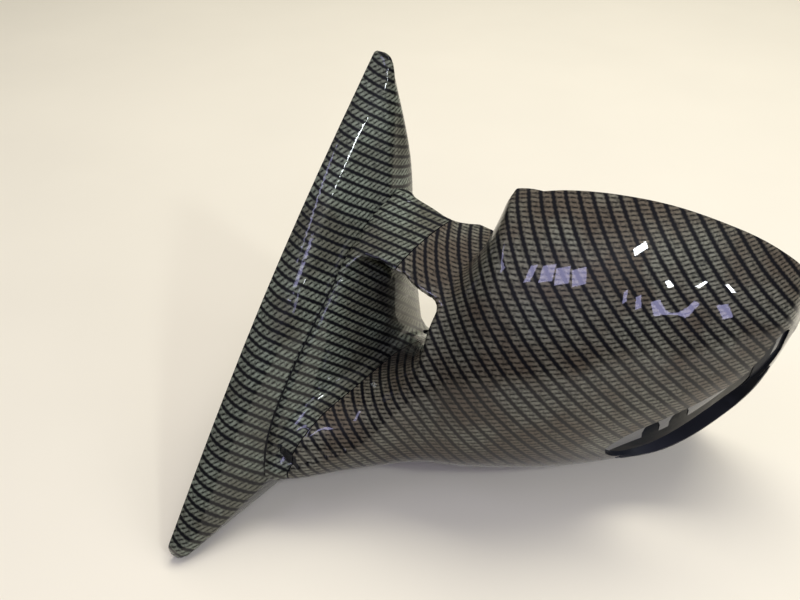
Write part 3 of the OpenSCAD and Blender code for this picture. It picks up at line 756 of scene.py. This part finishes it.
base = base_block(0, fine_step)
base = carve(base, to_object("hollow", *net_surface(
    lambda p: np.maximum(base_inside(p), -8 - p @ door_axes[2]), (-30, -4, -12), (34, 216, 224),
    coarse_step)))
boss_at = [(189, 17), (189, 92), (118, 17)]
for ends in (((148, 151), (210, 93)), ((71, 73), (113, -4))):
    p, q = np.array(ends)
    way = (q - p) / math.hypot(*(q - p))
    out = np.array([-way[1], way[0]]) * rib_half
    outline = [p - out, q - out, q + out, p + out]
    base = carve(base, within_base(extruded("rib", outline, 4, 40, door_axes)), "UNION")
for places, r, z0 in ((boss_at, 7, 1), (screw_at, 9.5, 14.5)):
    for a, b in places:
        base = carve(base, within_base(disc(a, b, r, z0, 40, 64, door_axes)), "UNION")
for a, b in boss_at:
    base = carve(base, disc(a, b, insert_r, 0, 10, 64, door_axes))
for a, b in screw_at:
    base = carve(base, disc(a, b, screw_hole_r, 0, 50, 64, door_axes))
base = carve(base, bar(-30, -30, 260, 260, -30, 0, door_axes))
base.name = "base_wrapped"
base_bands = (0.546, 0.961, 1.578, -0.264, -0.082, -0.076, 0.232, -0.266, 0.164)
finish_shell(base, [(base_face, 1, 0), (base_inside, -1, 1)], [base_film, bare_abs],
             ((0, 110, 110), base_bands, 3.03), "mount_side", ["sail_base"])


# Gasket: a thin EPDM sheet between base and foot, seen as a dark line round the foot.
def skin_at_base(p):
    """The inside of the skin, cut off just outboard and rearward of the gasket."""
    x, y = p[:, 0], p[:, 1]
    return np.maximum(skin(p), np.maximum(np.maximum(inboard_end - x, x - 60), y - 204))


gasket = to_object("skin_only", *net_surface(skin_at_base, (2, 44, 4), (66, 210, 164), fine_step))
gasket = carve(gasket, base_block(gasket_t, fine_step), "INTERSECT")
gasket = carve(carve(gasket, behind_rim()), base_block(0, fine_step))
gasket = carve(gasket, foot_region(), "INTERSECT")
for a, b in screw_at:
    gasket = carve(gasket, disc(a, b, screw_hole_r, 0, 50, 48, door_axes))
gasket.name = "gasket_sheet"
rubber = moulded("matt_epdm_rubber", "#0b0b0b", 0.7, 0.5, 0.03)
finish_shell(gasket, [(skin, 1, 0), (base_raised, 1, 0), (base_face, -1, 0)], [rubber], None,
             "mount_side", ["base_gasket"])


# Fixings and hinge hardware: zinc-plated steel and turned brass, kept as the solids are.
zinc_plate = moulded("zinc_plated_steel", "#a3a39e", 0.32, 0.6, 0.004, metal=1.0)
turned_brass = moulded("turned_brass", "#b5924c", 0.28, 0.4, 0.004, metal=1.0)
for name in ("foot_screws", "upper_pivot_pin", "lower_pivot_pin", "thrust_washers", "disc_springs"):
    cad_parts[name].material_slots[0].material = zinc_plate
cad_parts["threaded_inserts"].material_slots[0].material = turned_brass


# Setting: a plain cream sheet on a bench in a room that is pale above and dark at bench
# height. A broad overhead panel lights it, and windows and lamps show in the clear coat.
floor_z, reach = -0.4, 4000
corners = ((-reach, -reach), (reach, -reach), (reach, reach), (-reach, reach))
floor = to_object("floor", [(x, y, floor_z) for x, y in corners], [(0, 1, 2, 3)])
card, tree, shader = new_material("cream_card")
spot = node(tree, "ShaderNodeTexCoord").outputs["Object"]
mottle = node(tree, "ShaderNodeTexNoise", Vector=spot, Scale=5.0, Detail=3.0).outputs[0]
tone = node(tree, "ShaderNodeMapRange", i0=mottle, i3=0.96, i4=1.04).outputs[0]
tint = node(tree, "ShaderNodeVectorMath", {"operation": "SCALE"}, i0=linear("#e4deca")[:3], Scale=tone)
# To diffuse rays the sheet is 0.3 as bright, so it throws back as little as a small one would
diffuse = node(tree, "ShaderNodeLightPath").outputs["Is Diffuse Ray"]
throw = node(tree, "ShaderNodeMapRange", i0=diffuse, i3=1.0, i4=0.3).outputs[0]
thrown = node(tree, "ShaderNodeVectorMath", {"operation": "SCALE"}, i0=tint.outputs[0], Scale=throw)
tree.links.new(thrown.outputs[0], shader.inputs["Base Color"])
shader.inputs["Roughness"].default_value = 0.7
floor.data.materials.append(card)
world = bpy.data.worlds.new("studio")
bpy.context.scene.world = world
world.use_nodes = True
tree = world.node_tree
direction = node(tree, "ShaderNodeTexCoord").outputs["Generated"]
up_part = node(tree, "ShaderNodeSeparateXYZ", i0=direction).outputs[2]
glow = node(tree, "ShaderNodeMapRange", i0=up_part, i1=0.0, i2=0.8, i3=0.03, i4=0.42)
tree.links.new(glow.outputs[0], tree.nodes["Background"].inputs[1])
tree.nodes["Background"].inputs[0].default_value = linear("#e8e5e6")


def panel(place, aim, width, height, watts, colour, seen=True):
    """A rectangular light at a place. One that isn't seen gives light but shows in no gloss."""
    light = bpy.data.lights.new("panel", "AREA")
    light.shape = "RECTANGLE"
    light.size, light.size_y = width * mm, height * mm
    light.energy = watts
    light.color = linear(colour)[:3]
    lamp = bpy.data.objects.new("panel", light)
    bpy.context.scene.collection.objects.link(lamp)
    lamp.location = Vector(place) * mm
    lamp.rotation_euler = (Vector(aim) - Vector(place)).to_track_quat("-Z", "Y").to_euler()
    lamp.visible_glossy = seen


head_middle = (130, 180, 140)


def from_head(heading, height, away=1200):
    """A place seen from the head's middle at a heading from +X and a height, in degrees."""
    a, b = math.radians(heading), math.radians(height)
    way = (math.cos(a) * math.cos(b), math.sin(a) * math.cos(b), math.sin(b))
    return [start + away * part for start, part in zip(head_middle, way)]


daylight, lamplight = "#cfccff", "#f4fbff"
# The broad overhead panel, and a fill from outboard
panel((-100, 1000, 1900), (100, 150, 50), 1700, 1200, 38, "#fffcf8", seen=False)
panel(from_head(8, 24, 1700), head_middle, 1100, 700, 6.5, "#f0f2ff", seen=False)
# Four panes of a large window and three of a narrow one; power goes by the pane's width
for heading, height, wide in ((-66, 47.5, 60), (-56, 46.5, 105), (-48, 44, 105), (-40, 41.5, 105)):
    panel(from_head(heading, height), head_middle, wide, 190, 0.8 * wide / 100, daylight)
for heading, height in ((-17, 20), (-12, 14), (-8, 9)):
    panel(from_head(heading, height), head_middle, 34, 120, 0.17, daylight)
# Two lamps, and two strips that are aimed at the base and at the upper arm
panel(from_head(-9, 43), head_middle, 110, 110, 3, lamplight)
panel(from_head(-5, 17), head_middle, 14, 60, 0.25, lamplight)
panel(from_head(-125, 48, 1400), (0, 150, 140), 620, 90, 1.6, daylight)
panel(from_head(85, 63), (40, 180, 140), 200, 40, 0.3, "#eef0ff")
bpy.context.scene.view_settings.view_transform = "Standard"
